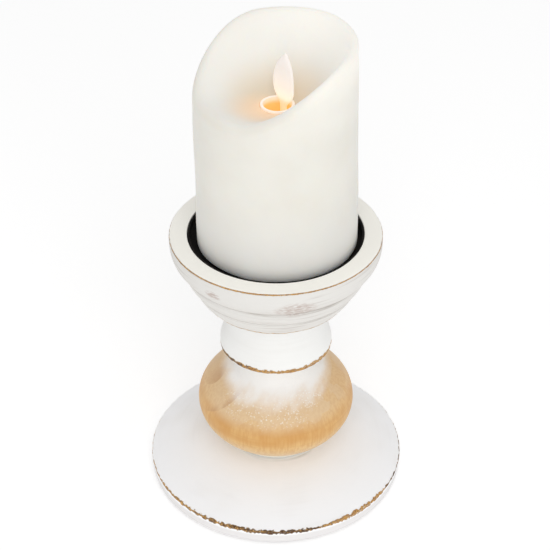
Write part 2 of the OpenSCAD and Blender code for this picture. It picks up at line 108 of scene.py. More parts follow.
aim = (Vector(cad_box[0]) + Vector(cad_box[1])) / 2
for name, place, width, watts in (
    ("softbox_above", Vector((0.15, -1.2, 1.3)), 1.1, 6.5),
    ("softbox_front", Vector((0.2, -1.7, 0.35)), 0.9, 2.4),
):
    softbox = bpy.data.objects.new(name, bpy.data.lights.new(name, "AREA"))
    softbox.data.energy = watts
    softbox.data.size = width
    softbox.location = place
    softbox.rotation_euler = (aim - place).to_track_quat("-Z", "Y").to_euler()
    bpy.context.collection.objects.link(softbox)

# ---- Base disc ----
# A disc turned from one board, with a domed top that rises to the stem, painted in
# chalky white. Its edges have been sanded through, so bare wood shows as a broken line.


def swatch(red, green, blue):
    """A screen colour, 0 to 255 a channel, as the linear colour that sockets take."""
    share = [c / 255 for c in (red, green, blue)]
    return (*[s / 12.92 if s < 0.04 else ((s + 0.055) / 1.055) ** 2.4 for s in share], 1)


def plug(tree, sockets, values):
    """Gives sockets their values, and links those whose value is a Wire."""
    for name, value in values.items():
        if isinstance(value, Wire):
            tree.links.new(value.socket, sockets[name])
        else:
            sockets[name].default_value = value


class Wire:
    """A socket to write sums with: each operator adds its Math node."""

    def __init__(self, bench, socket):
        self.bench = bench
        self.socket = socket

    def math(self, operation, *others):
        terms = dict(enumerate((self, *others)))
        return self.bench.node("ShaderNodeMath", {"operation": operation}, terms)

    def __add__(self, other):
        return self.math("ADD", other)

    def __sub__(self, other):
        return self.math("SUBTRACT", other)

    def __mul__(self, other):
        return self.math("MULTIPLY", other)

    def __truediv__(self, other):
        return self.math("DIVIDE", other)

    def __pow__(self, other):
        return self.math("POWER", other)

    def __rsub__(self, other):
        return self * -1 + other

    __radd__ = __add__
    __rmul__ = __mul__

    def ramp(self, low, high):
        """0 up to low, 1 from high on, and a soft step in between."""
        limits = {"Value": self, "From Min": low, "From Max": high}
        return self.bench.node("ShaderNodeMapRange", {"interpolation_type": "SMOOTHSTEP"}, limits)


class Bench:
    """A node tree that nodes are added to one by one."""

    def __init__(self, tree):
        self.tree = tree

    def node(self, kind, settings=None, values=None, out=0):
        """Adds a node: its settings go in first, then its sockets. Returns its output out."""
        made = self.tree.nodes.new(kind)
        for name, setting in (settings or {}).items():
            if name == "stops":
                ramp = made.color_ramp.elements
                while len(ramp) < len(setting):
                    ramp.new(0.5)
                for stop, (position, color) in zip(ramp, setting):
                    stop.position = position
                    stop.color = color
            else:
                setattr(made, name, setting)
        plug(self.tree, made.inputs, values or {})
        return Wire(self, made.outputs[out])

    def vector(self, x, y, z):
        return self.node("ShaderNodeCombineXYZ", None, {"X": x, "Y": y, "Z": z})

    def speckle(self, vector, scale=1.0, detail=2.0, seed=0.0):
        """Noise about 0.5, of grains near 1/scale across."""
        values = {"Vector": vector, "W": seed, "Scale": scale, "Detail": detail}
        return self.node("ShaderNodeTexNoise", {"noise_dimensions": "4D"}, values)


class Finish(Bench):
    """A finish with one Principled shader. What is even all over is set on the shader itself."""

    def __init__(self, name, even):
        self.material = bpy.data.materials.new(name)
        self.material.use_nodes = True
        super().__init__(self.material.node_tree)
        self.shader = self.tree.nodes["Principled BSDF"]
        self.vary(even)

    def vary(self, values):
        plug(self.tree, self.shader.inputs, values)

    def place(self):
        """Where a point of the piece is, in millimetres."""
        at = self.node("ShaderNodeTexCoord", out="Object")
        parts = self.node("ShaderNodeSeparateXYZ", None, {"Vector": at}).socket.node.outputs
        return [Wire(self, socket) * 1000 for socket in parts]

    def facing(self, stops):
        """A value that changes with direction: stops are (degrees right of the front, value)."""
        x, y, z = self.place()
        turned = x.math("ARCTAN2", y * -1) / math.tau + 0.5
        greys = [(0.5 + degrees / 360, (value, value, value, 1)) for degrees, value in stops]
        return self.node("ShaderNodeValToRGB", {"stops": greys}, {"Fac": turned}) * 1

    def mark(self, name):
        """The piece's own attribute of that name."""
        return self.node("ShaderNodeAttribute", {"attribute_name": name}, out="Fac")

    def mix(self, share, one, other):
        colours = {0: share, 6: one, 7: other}
        return self.node("ShaderNodeMix", {"data_type": "RGBA"}, colours, 2)

    def relief(self, height, depth, strength=1.0):
        """Bumps the surface by up to depth millimetres."""
        values = {"Height": height, "Distance": depth * mm, "Strength": strength}
        self.vary({"Normal": self.node("ShaderNodeBump", None, values)})


def around(finish, along, across):
    """A place that runs along the turning by along per millimetre, and across it by across."""
    x, y, z = finish.place()
    radius = (x * x + y * y) ** 0.5
    return finish.vector(x * along, y * along, (radius * 0.9 + z) * across)


def build_lathe():
    """Turns a half section about Z: a row of sides for each of its points."""
    tree = bpy.data.node_groups.new("lathe", "GeometryNodeTree")
    inputs = {
        "Section": "NodeSocketGeometry",
        "Sides": "NodeSocketInt",
        "Out of round": "NodeSocketFloat",
        "Nicks": "NodeSocketFloat",
        "Seed": "NodeSocketFloat",
        "Finish": "NodeSocketMaterial",
    }
    for name, kind in inputs.items():
        tree.interface.new_socket(name, in_out="INPUT", socket_type=kind)
    tree.interface.new_socket("Turned piece", in_out="OUTPUT", socket_type="NodeSocketGeometry")
    bench = Bench(tree)
    start = tree.nodes.new("NodeGroupInput")
    section, sides, wobble, nicks, seed, finish = [Wire(bench, start.outputs[n]) for n in inputs]

    points = bench.node("GeometryNodeAttributeDomainSize", {"component": "MESH"}, {"Geometry": section})
    sheet = bench.node(
        "GeometryNodeMeshGrid", None, {"Vertices X": points, "Vertices Y": sides + 1}
    )
    index = bench.node("GeometryNodeInputIndex")
    row = ((index + 0.5) / (sides + 1)).math("FLOOR")
    column = index - row * (sides + 1)

    def from_section(kind, value):
        settings = {"data_type": kind, "domain": "POINT"}
        return bench.node(
            "GeometryNodeSampleIndex", settings, {"Geometry": section, "Value": value, "Index": row}
        )

    shape = sheet
    for mark in ("wear", "dirt"):
        drawn = bench.node("GeometryNodeInputNamedAttribute", {"data_type": "FLOAT"}, {"Name": mark})
        shape = bench.node(
            "GeometryNodeStoreNamedAttribute",
            {"data_type": "FLOAT", "domain": "POINT"},
            {"Geometry": shape, "Name": mark, "Value": from_section("FLOAT", drawn)},
        )
    corner = from_section("FLOAT_VECTOR", bench.node("GeometryNodeInputPosition"))
    split = bench.node("ShaderNodeSeparateXYZ", None, {"Vector": corner}).socket.node.outputs
    radius, height = Wire(bench, split["X"]), Wire(bench, split["Z"])
    angle = column / sides * math.tau
    turned = bench.vector(radius * angle.math("COSINE"), radius * angle.math("SINE"), height)
    shape = bench.node("GeometryNodeSetPosition", None, {"Geometry": shape, "Position": turned})
    shape = bench.node("GeometryNodeMergeByDistance", None, {"Geometry": shape, "Distance": 1e-6})
    shape = bench.node("GeometryNodeFlipFaces", None, {"Mesh": shape})

    here = bench.node("GeometryNodeInputPosition")
    wear = bench.node("GeometryNodeInputNamedAttribute", {"data_type": "FLOAT"}, {"Name": "wear"})
    uneven = (bench.speckle(here, 25, 0, seed) - 0.9) * wobble
    bitten = (bench.speckle(here, 330, 2, seed + 7) - 0.46).math("MAXIMUM", 0) * nicks * wear
    normal = bench.node("GeometryNodeInputNormal")
    push = bench.node(
        "ShaderNodeVectorMath", {"operation": "SCALE"}, {0: normal, "Scale": uneven - bitten}
    )
    shape = bench.node("GeometryNodeSetPosition", None, {"Geometry": shape, "Offset": push})
    shape = bench.node("GeometryNodeSetShadeSmooth", None, {"Geometry": shape})
    shape = bench.node("GeometryNodeRealizeInstances", None, {"Geometry": shape})
    shape = bench.node("GeometryNodeSetMaterial", None, {"Geometry": shape, "Material": finish})
    end = tree.nodes.new("NodeGroupOutput")
    tree.links.new(shape.socket, end.inputs["Turned piece"])
    return tree


lathe = build_lathe()


def run_tree(name, start_mesh, tree, values):
    """Runs a geometry tree on a mesh and returns the result as a plain mesh object."""
    blank = bpy.data.objects.new(name + "_blank", start_mesh)
    bpy.context.collection.objects.link(blank)
    modifier = blank.modifiers.new("tree", "NODES")
    modifier.node_group = tree
    for item in tree.interface.items_tree:
        if item.in_out == "INPUT" and item.name in values:
            modifier[item.identifier] = values[item.name]
    blank.update_tag()
    depsgraph = bpy.context.evaluated_depsgraph_get()
    mesh = bpy.data.meshes.new_from_object(blank.evaluated_get(depsgraph))
    bpy.data.objects.remove(blank)
    mesh.name = name
    piece = bpy.data.objects.new(name, mesh)
    bpy.context.collection.objects.link(piece)
    return piece


def arc(r, z, radius, start, end, steps=8):
    """Points of an arc about (r, z), between two angles in degrees."""
    turns = [math.radians(start + (end - start) * i / steps) for i in range(steps + 1)]
    return [(r + radius * math.cos(a), z + radius * math.sin(a)) for a in turns]


def sweep(a, b, c, d, steps=16):
    """Points of a Bezier curve with these four handles."""
    points = []
    for i in range(steps + 1):
        t = i / steps
        u = 1 - t
        weights = (u * u * u, 3 * u * u * t, 3 * u * t * t, t * t * t)
        points.append(tuple(sum(w * p[k] for w, p in zip(weights, (a, b, c, d))) for k in (0, 1)))
    return points


def bulge(p, q, sag):
    """A shallow curve from p to q that bulges by sag to the right of the way it runs."""
    run, rise = q[0] - p[0], q[1] - p[1]
    length = math.hypot(run, rise)
    out = (rise / length * sag * 4 / 3, -run / length * sag * 4 / 3)
    thirds = [(p[0] + run * t + out[0], p[1] + rise * t + out[1]) for t in (1 / 3, 2 / 3)]
    return sweep(p, *thirds, q)


def closeness(point, places):
    """1 at the nearest of the places (radius, height, reach) and 0 beyond its reach."""
    return max(
        (1 - math.hypot(point[0] - r, point[1] - z) / reach for r, z, reach in places),
        default=0,
    )


def turn(name, outline, finish, worn=(), shaded_places=(), sides=320, wobble=0.25, nicks=2.0, seed=1):
    """Turns an outline (millimetres, bottom to top) and marks where it is worn or painted with shade.
    """
    fine_step, coarse_step, watched = 0.25, 2.0, 2.5
    points = [outline[0]]
    for p, q in zip(outline, outline[1:]):
        middle = ((p[0] + q[0]) / 2, (p[1] + q[1]) / 2)
        length = math.dist(p, q)
        near = any(
            math.dist(middle, (r, z)) < watched + length / 2 for r, z, _ in (*worn, *shaded_places)
        )
        count = max(1, math.ceil(length / (fine_step if near else coarse_step)))
        for i in range(1, count + 1):
            points.append((p[0] + (q[0] - p[0]) * i / count, p[1] + (q[1] - p[1]) * i / count))
    section = bpy.data.meshes.new(name + "_section")
    section.from_pydata([(r * mm, 0, z * mm) for r, z in points], [], [])
    for mark, places in (("wear", worn), ("dirt", shaded_places)):
        values = section.attributes.new(mark, "FLOAT", "POINT")
        for i, point in enumerate(points):
            values.data[i].value = max(0, closeness(point, places))
    tools = {
        "Sides": sides,
        "Out of round": wobble * mm,
        "Nicks": nicks * mm,
        "Seed": float(seed),
        "Finish": finish.material,
    }
    return run_tree(name, section, lathe, tools)


def stand(piece, node, body):
    """The piece takes a CAD node's place on its body."""
    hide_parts(node)
    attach(piece, body)


def size_of(node):
    """Radius, lowest and highest point of a node that stands on the axis, in millimetres."""
    low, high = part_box(node)
    return high[0] / mm, low[2] / mm, high[2] / mm


paint_white = swatch(248, 247, 245)
wood_gold = swatch(206, 160, 92)
wood_brown = swatch(138, 92, 50)
wood_burnt = swatch(78, 50, 32)


def chalk_paint(name, rubbed, golden, seed, streaks=0.35, tone_and_painted_light=paint_white, ragged=1.0):
    """Chalky white paint over wood, rubbed through along worn edges.

    rubbed and golden are stops round the piece: how wide the bare line is, as a share of
    the wear mark's reach, and how light its wood is. streaks is how much dry brush shows,
    the tone argument is the paint's colour, made lighter or darker on some pieces as painted
    light and painted shade, and ragged 0 makes the bare line even.
    """
    finish = Finish(name, {"Specular IOR Level": 0.3})
    strokes = finish.speckle(around(finish, 0.03, 0.8), 1, 3, seed)
    clouds = finish.speckle(around(finish, 0.03, 0.06), 1, 2, seed + 3)
    x, y, z = finish.place()
    spot = finish.vector(x, y, z)
    crumbs = finish.speckle(spot, 0.55, 3, seed + 5)
    grit = finish.speckle(spot, 1.6, 2, seed + 6)
    width = finish.facing(rubbed)
    uneven = crumbs.ramp(0.36, 0.6) * 0.8 * ragged + 0.85 - 0.4 * ragged
    wear = finish.mark("wear") - 1 + width * uneven
    bare = wear.ramp(0, 0.06)
    rubbed_thin = wear.ramp(-0.12, 0.02)

    # painted shade: grey dragged over the creases and joints that are marked as shaded
    dirt = finish.mark("dirt") * strokes.ramp(0.36, 0.62)
    dry_brush = strokes.ramp(0.5, 0.66) * clouds.ramp(0.4, 0.6) * streaks
    colour = finish.mix(clouds.ramp(0.45, 0.8) * 0.25, tone_and_painted_light, swatch(226, 223, 217))
    colour = finish.mix(dry_brush, colour, swatch(184, 176, 170))
    colour = finish.mix(dirt * 0.55, colour, swatch(178, 172, 164))
    colour = finish.mix(rubbed_thin * 0.45, colour, swatch(216, 200, 172))
    light = finish.facing(golden)
    wood = finish.mix(grit.ramp(0.42, 0.56), wood_gold, wood_brown)
    wood = finish.mix((crumbs * 0.5 + grit * 1.1 - light).ramp(0.3, 0.5), wood, wood_burnt)
    wood = finish.mix(grit.ramp(0.56, 0.66) * light, wood, swatch(238, 226, 198))
    finish.coat = finish.mix(bare, colour, wood)
    finish.vary({"Base Color": finish.coat, "Roughness": 0.66 - bare * 0.14 + strokes * 0.08})
    finish.relief(strokes * 0.2 + crumbs * 0.06 - bare * 0.5, 0.3)
    return finish


stem_hole_r = 3.25
nut_well_r = 11
nut_well_h = 8
socket_r = 9.1
socket_h = 6.3

base_r, base_low, base_top = size_of("base_disc")
bead_r, bead_low, bead_top = size_of("foot_ring")
base_edge_h = 8
base_edge_top = base_low + base_edge_h
base_outline = [
    (stem_hole_r, base_low + nut_well_h),
    (nut_well_r, base_low + nut_well_h),
    (nut_well_r, base_low),
    *arc(base_r - 1.5, base_low + 1.2, 1.2, -90, 0),
    (base_r, base_edge_top - 1.4),
    *arc(base_r - 0.8, base_edge_top - 0.8, 0.8, 0, 70),
    *bulge((base_r - 2.2, base_edge_top + 0.4), (bead_r, base_top), 1),
    (socket_r, base_top),
    (socket_r, base_top - socket_h),
    (stem_hole_r, base_top - socket_h),
    (stem_hole_r, base_low + nut_well_h),
]
base_rim = (base_r - 0.1, base_edge_top - 0.6, 2.6)
base_foot = (base_r - 0.4, base_low + 0.3, 1.2)
base_joint = (bead_r + 0.4, base_top - 0.2, 1.6)
rubbed_rim = [(-180, 0.2), (-95, 0.16), (-60, 0.26), (-42, 0.42), (-12, 0.52), (14, 0.46)]
rubbed_rim += [(17, 0.22), (26, 0.36), (34, 0.56), (52, 0.5), (62, 0.22), (120, 0.2)]
golden_rim = [(-180, 0.5), (-60, 0.6), (-40, 0.44), (0, 0.3), (18, 0.26), (36, 0.85), (55, 0.6)]
golden_rim += [(64, 0.25), (180, 0.5)]
# painted light: the base's paint is a brighter white than the other pieces, against the shade that the
# stem casts on it
base_paint = chalk_paint("base_chalk_paint", rubbed_rim, golden_rim, 1, 0.03, swatch(252, 253, 255))
x, y, z = base_paint.place()
# painted shade: the upright side is painted greyer than the top
painted_side_shade = 0.8 - z.ramp(base_edge_top - 3.5, base_edge_top - 2) * 0.8
base_paint.vary(
    {"Base Color": base_paint.mix(painted_side_shade, base_paint.coat, swatch(228, 225, 224))}
)
# painted shade lines along the foot edge and round the joint under the bead
base = turn(
    "base", base_outline, base_paint, [base_rim], [base_joint, base_foot], sides=400, seed=1
)
stand(base, "base_disc", "candlestick")

# ---- Felt ----
# A disc of pressed wool felt, cut by hand and glued under the base to save the table.

felt_r, felt_low, felt_top = size_of("felt_pad")
felt_wool = Finish("felt_wool", {"Roughness": 0.95, "Sheen Weight": 0.3})
x, y, z = felt_wool.place()
fibres = felt_wool.speckle(felt_wool.vector(x, y, z), 2.2, 6)
felt_wool.vary(
    {"Base Color": felt_wool.mix(fibres.ramp(0.35, 0.65), swatch(58, 55, 52), swatch(92, 87, 82))}
)
felt_wool.relief(fibres, 0.4)
felt_outline = [
    (0, felt_low),
    *arc(felt_r - 0.5, felt_low + 0.4, 0.4, -90, 0),
    *arc(felt_r - 0.4, felt_top - 0.3, 0.3, 0, 90),
    (0, felt_top),
]
felt = turn("felt", felt_outline, felt_wool, wobble=0, nicks=0)
stand(felt, "felt_pad", "candlestick")

# ---- Stem: bead, ball and collar ----
# Three turned pieces that stand on each other: a painted bead, a flattened ball left in
# the wood with a dry-brushed whitewash, and a painted drum with a worn lower edge.

bead_h = bead_top - bead_low
bead_outline = [
    (socket_r, bead_low),
    *arc(bead_r - bead_h / 2, bead_low + bead_h / 2, bead_h / 2, -90, 90, 24),
    (socket_r, bead_top),
    (socket_r, bead_low),
]
# the bead's cream is partly its own tone and partly painted light, made full bright against the ball's
# shadow
bead_paint = chalk_paint(
    "bead_chalk_paint", [(-180, 0), (180, 0)], [(-180, 0.5), (180, 0.5)], 5, tone_and_painted_light=swatch(255, 253, 240)
)
bead = turn("bead", bead_outline, bead_paint, wobble=0.15)
stand(bead, "foot_ring", "candlestick")

ball_r, ball_tenon_low, ball_tenon_top = size_of("ball")
tenon_r = 9
tenon_h = 6
neck_r = 17.5
ball_foot = bead_top
neck_top = ball_tenon_top - tenon_h
ball_rise = 19.2
ball_mid = ball_foot + ball_rise
ball_half_h = 25.2
neck_bend_h = 45.6
neck_foot_h = 50


def on_ball(degrees):
    turned_to = math.radians(degrees)
    return (ball_r * math.cos(turned_to), ball_mid + ball_half_h * math.sin(turned_to))


foot_angle = math.degrees(math.asin((ball_foot - ball_mid) / ball_half_h))
shoulder_angle = 56
shoulder = on_ball(shoulder_angle)
ball_outline = [
    (stem_hole_r, ball_tenon_low),
    (tenon_r, ball_tenon_low),
    (tenon_r, ball_foot),
    *[on_ball(foot_angle + (shoulder_angle - foot_angle) * i / 60) for i in range(61)],
    *sweep(
        shoulder,
        (shoulder[0] - 3.4, shoulder[1] + 1.6),
        (neck_r, ball_foot + neck_bend_h),
        (neck_r, ball_foot + neck_foot_h),
    ),
    (neck_r, neck_top),
    (tenon_r, neck_top),
    (tenon_r, ball_tenon_top),
    (stem_hole_r, ball_tenon_top),
    (stem_hole_r, ball_tenon_low),
]

ball_wood = Finish("whitewashed_wood", {"Specular IOR Level": 0.4})
x, y, z = ball_wood.place()
spot = ball_wood.vector(x, y, z)
up = z - ball_mid
fibres = ball_wood.speckle(ball_wood.vector(x * 0.9, y * 0.9, z * 0.07), 1, 3, 2)
rings = ball_wood.speckle(around(ball_wood, 0.03, 0.7), 1, 3, 4)
patches = ball_wood.speckle(ball_wood.vector(x * 0.05, y * 0.05, z * 0.08), 1, 2, 6)
colour = ball_wood.mix(fibres.ramp(0.4, 0.62), swatch(226, 186, 124), swatch(216, 168, 106))
colour = ball_wood.mix(rings.ramp(0.5, 0.7) * 0.4, colour, swatch(202, 154, 94))
band = up.ramp(-5, 1) - up.ramp(6, 11)
colour = ball_wood.mix(band * (patches.ramp(0.35, 0.62) * 0.6 + 0.25), colour, swatch(208, 152, 82))
# painted light: below its middle the ball is painted paler, for the light thrown up from the floor
colour = ball_wood.mix(0.45 - up.ramp(-15, -1) * 0.45, colour, swatch(234, 218, 192))

# the wash covers the shoulder, thins to a film on its way down and leaves the sides bare
sideways = (x / ball_r) * (x / ball_r)
slant = ball_wood.vector(x * 0.09 + z * 0.05, y * 0.09, z * 0.16 - x * 0.15)
brush = ball_wood.speckle(slant, 1, 2, 8)
lap_cells = ball_wood.node(
    "ShaderNodeTexVoronoi",
    {"feature": "F1", "distance": "CHEBYCHEV"},
    {"Vector": ball_wood.vector(x * 0.07 + z * 0.05, y * 0.07, z * 0.09 - x * 0.06), "Scale": 1.0},
    1,
)
lap = ball_wood.node("ShaderNodeSeparateXYZ", None, {"Vector": lap_cells})
wash_line = sideways.ramp(0.2, 0.9) * 11 + 16.8
wash = (up - wash_line) / 8 + (brush - 0.5) * 0.8
solid_wash = wash.ramp(-0.5, 0.6)
lapped = lap.ramp(0.42, 0.5) * 0.2 + 0.4
film = up.ramp(3, 11) * lapped * (1.1 - sideways.ramp(0.4, 0.95) * 0.65)

# two slanting laps of the brush on the front left, each with a bare stroke above its edge
lap_slope, lap_foot, lap_pitch = 0.82, 32.3, 7.7
past_lap = (up - x * lap_slope - lap_foot) / lap_pitch
bared = (1 - past_lap.math("FRACT").ramp(0, 0.38)) * past_lap.ramp(-0.02, 0.02)
bared = bared * (1 - past_lap.ramp(1.2, 1.4)) * (1 - x.ramp(-19, -11)) * (1 - y.ramp(-5, 4))
bared = bared * brush.ramp(0.3, 0.6) * x.ramp(-39, -30) * 0.55

# fine white dots where the brush was nearly dry
dots = ball_wood.speckle(spot, 1.3, 1, 12)
dotted = dots.ramp(0.6, 0.66) * up.ramp(5, 14) * patches.ramp(0.45, 0.55)
dotted = dotted * (1 - sideways.ramp(0.2, 0.5))
colour = ball_wood.mix(film, colour, swatch(224, 199, 166))
colour = ball_wood.mix(bared, colour, swatch(188, 140, 100))
colour = ball_wood.mix(dotted * 0.7, colour, swatch(250, 246, 238))
colour = ball_wood.mix(solid_wash * 0.97, colour, paint_white)
ball_wood.vary({"Base Color": colour, "Roughness": 0.46 + solid_wash * 0.2})
ball_wood.relief(fibres * 0.3 + rings * 0.2 + solid_wash * 0.4 + dotted * 0.3, 0.2)
ball = turn("ball_wood_stem", ball_outline, ball_wood, sides=256, wobble=0.3, seed=3)
stand(ball, "ball", "candlestick")

collar_r, collar_low, collar_tenon_top = size_of("collar")
collar_top = collar_tenon_top - tenon_h
waist_r = collar_r - 4
waist_foot = neck_top + 10
waist_head = neck_top + 20
collar_outline = [
    (stem_hole_r, neck_top + socket_h),
    (socket_r, neck_top + socket_h),
    (socket_r, neck_top),
    (neck_r + 1, neck_top),
    *arc(collar_r - 0.8, collar_low + 0.8, 0.8, -90, 0),
    *sweep(
        (collar_r, neck_top + 1.6),
        (collar_r - 0.6, neck_top + 8),
        (waist_r, waist_foot),
        (waist_r, waist_head),
    ),
    *sweep(
        (waist_r, waist_head),
        (waist_r, waist_head + 5),
        (waist_r + 0.8, waist_head + 8.5),
        (waist_r + 2, collar_top),
    )[1:],
    (tenon_r, collar_top),
    (tenon_r, collar_tenon_top),
    (stem_hole_r, collar_tenon_top),
    (stem_hole_r, neck_top + socket_h),
]
collar_edge = (collar_r - 0.2, collar_low + 0.5, 3.4)
collar_wear = [(-180, 0.5), (-80, 0.45), (-30, 0.75), (10, 0.6), (50, 0.75), (90, 0.5)]
collar_gold = [(-180, 0.5), (-55, 0.3), (-20, 0.5), (5, 0.8), (60, 0.85), (120, 0.5)]
# painted shade: the collar's paint is a little greyer than the plain white
collar_paint = chalk_paint(
    "collar_chalk_paint", collar_wear, collar_gold, 7, 0.03, swatch(242, 242, 240), ragged=0.5
)
collar = turn("collar_drum", collar_outline, collar_paint, [collar_edge], sides=256, seed=4)
stand(collar, "collar", "candlestick")

# ---- Cup and pan ----
# The stepped cup that the candle stands in: three bands between two turned grooves, and a
# broad flat rim. Its recess is lined with a pan pressed from thin steel and enamelled black.

cup_r, cup_low, cup_rim = size_of("cup")
cup_foot_r = 36
recess_r = 42.5
cup_well_h = 10
_, recess_floor, _ = size_of("drip_pan")
groove_low = (cup_foot_r + 4.7, cup_low + 9.6)
groove_high = (cup_foot_r + 9.3, cup_low + 19)
cup_outline = [
    (stem_hole_r, cup_low + socket_h),
    (socket_r, cup_low + socket_h),
    (socket_r, cup_low),
    *arc(cup_foot_r - 0.8, cup_low + 0.8, 0.8, -90, -20),
    *bulge((cup_foot_r + 0.1, cup_low + 1), (cup_foot_r + 5.1, cup_low + 9.2), 0.5),
    groove_low,
    *bulge((cup_foot_r + 5.9, cup_low + 10.2), (cup_foot_r + 9.8, cup_low + 18.6), 0.5),
    groove_high,
    *sweep(
        (cup_foot_r + 10.6, cup_low + 19.6),
        (cup_foot_r + 13.2, cup_low + 23),
        (cup_r - 0.1, cup_low + 25.4),
        (cup_r, cup_low + 31),
    ),
    *arc(cup_r - 1, cup_rim - 1, 1, 0, 90),
    *arc(recess_r + 0.5, cup_rim - 0.5, 0.5, 90, 180, 4),
    (recess_r, recess_floor),
    (nut_well_r, recess_floor),
    (nut_well_r, recess_floor - cup_well_h),
    (stem_hole_r, recess_floor - cup_well_h),
    (stem_hole_r, cup_low + socket_h),
]
cup_edge = (cup_r - 0.1, cup_rim - 0.7, 1.6)
cup_foot_edge = (cup_foot_r - 0.2, cup_low + 0.3, 1.8)
cup_wear = [(-180, 0.28), (-100, 0.3), (-40, 0.3), (0, 0.34), (20, 0.3), (40, 0.22), (90, 0.26)]
cup_gold = [(-180, 0.5), (-70, 0.45), (-15, 0.7), (40, 0.6), (120, 0.5)]
# painted shade: the cup's paint is a darker tone than the other pieces, for its bands that face down
# and away from the light
cup_paint = chalk_paint(
    "cup_chalk_paint", cup_wear, cup_gold, 11, streaks=0.55, tone_and_painted_light=swatch(226, 224, 220), ragged=0.3
)
x, y, z = cup_paint.place()
turned = x.math("ARCTAN2", y * -1) * (180 / math.pi)
# the rim's top is painted whiter as painted light from above; the brush left two brownish scuffs on the
# sides
scrubs = cup_paint.speckle(around(cup_paint, 0.4, 1.5), 1, 3, 21)
coat = cup_paint.mix(z.ramp(cup_rim - 0.5, cup_rim - 0.1), cup_paint.coat, swatch(255, 253, 246))
for direction, height, spread, tall in ((11, cup_rim - 12, 12, 6), (-35, cup_rim - 8, 5, 2.5)):
    across, along = (turned - direction) / spread, (z - height) / tall
    scuff = 1 - (across * across + along * along).ramp(0.2, 1.3)
    coat = cup_paint.mix(scuff * scrubs.ramp(0.4, 0.55) * 0.6, coat, swatch(172, 146, 134))
cup_paint.vary({"Base Color": coat})
# painted shade along the two grooves
cup = turn(
    "cup_bowl",
    cup_outline,
    cup_paint,
    [cup_edge, cup_foot_edge],
    [(*groove_low, 2.6), (*groove_high, 3.4)],
    sides=360,
    nicks=1.2,
    seed=5,
)
stand(cup, "cup", "candlestick")


def dress(finish, *nodes):
    """Gives CAD nodes a finish."""
    for name in nodes:
        for slot in frame["nodes"][name].material_slots:
            slot.material = finish.material


enamel = Finish("black_enamel", {"Specular IOR Level": 0.12})
x, y, z = enamel.place()
grit = enamel.speckle(enamel.vector(x, y, z), 1.6, 4)
dust = enamel.speckle(enamel.vector(x, y, z), 0.09, 2, 3)
enamel.vary(
    {
        "Base Color": enamel.mix(dust.ramp(0.45, 0.75), swatch(14, 12, 11), swatch(34, 31, 29)),
        "Roughness": 0.6 + grit * 0.3,
    }
)
enamel.relief(grit, 0.12)
dress(enamel, "drip_pan")

# ---- Rod, washers and nuts ----
# Zinc-plated steel that clamps the turned pieces together, hidden in their wells.

zinc = Finish("zinc_plate", {"Metallic": 1.0})
x, y, z = zinc.place()
crystals = zinc.speckle(zinc.vector(x, y, z), 0.7, 3)
zinc.vary(
    {
        "Base Color": zinc.mix(crystals, swatch(168, 170, 174), swatch(206, 208, 210)),
        "Roughness": 0.28 + crystals * 0.2,
    }
)
zinc.relief(crystals, 0.05)
dress(zinc, "tie_rod", "rod_washers", "rod_nuts", "housing_screws")

# ---- Wax ----
# A wall of ivory wax cast round the plastic core. Its top slants and dips like a candle
# that has burned down, to a round hole for the flame, which lights the wax around it.

wax_low, wax_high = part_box("wax_shell")
tube_low, tube_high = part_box("flame_tube")
candle_x = (tube_low[0] + tube_high[0]) / 2
candle_foot = wax_low[2]
swing = next(joint for joint in frame["joints"] if joint["name"] == "flame_swing")
candle_turn = math.atan2(swing["axis"][1], swing["axis"][0])
in_candle = Matrix.Translation((candle_x, 0, candle_foot)) @ Matrix.Rotation(candle_turn, 4, "Z")

wax_r = 38.7
wax_draft = 1.3
wax_lean = 1.2
wax_h = (wax_high[2] - wax_low[2]) / mm
wax_low_h = 79
back_lip = 2.4
front_lip = 4.6
wax_bore_r = 34.2
wax_roof = 63.2
hole_r = 8.1
hole_h = 72.5


def soft_step(value, low, high):
    share = min(1, max(0, (value - low) / (high - low)))
    return share * share * (3 - 2 * share)


def rim_height(angle):
    """Height of the wax's top at an angle, in degrees, from its low front lip."""
    climb = 0.9 * soft_step(angle, 18, 118) + 0.1 * soft_step(angle, 100, 180)
    return wax_low_h + (wax_h - wax_low_h) * climb


def wax_section(degrees):
    """Outline of the wax at one direction, closed, from the hole outwards and down.

    Each point is a radius, a height and the share of the candle's lean that it takes.
    """
    from_front = abs((degrees + 90 + 540) % 360 - 180)
    top = rim_height(from_front)
    foot_r = wax_r - 1.5
    lip = front_lip + (back_lip - front_lip) * soft_step(from_front, 18, 118)
    lip_r = wax_r - wax_draft * top / wax_h - lip
    start, end = hole_r + 0.6, lip_r - 1.2
    scoop = [
        (start + (end - start) * t, hole_h + (top - 0.3 - hole_h) * t ** 1.5, t)
        for t in (i / 26 for i in range(27))
    ]
    side = [(wax_r - (lip_r + lip), 1.5 + (top - lip - 1.5) * i / 24) for i in range(24)]
    return [
        (hole_r, wax_roof, 0),
        (hole_r, hole_h - 0.5, 0),
        (hole_r + 0.1, hole_h - 0.15, 0),
        *scoop,
        *[(r, z, 1) for r, z in arc(lip_r, top - lip, lip, 90, 0, 12)],
        *[(wax_r - drop * i / 24, z, 1) for i, (drop, z) in reversed(list(enumerate(side)))],
        *[(r, z, 1) for r, z in arc(foot_r, 1.5, 1.5, -15, -90, 5)],
        (wax_bore_r, 0, 0),
        (wax_bore_r, wax_roof, 0),
    ]


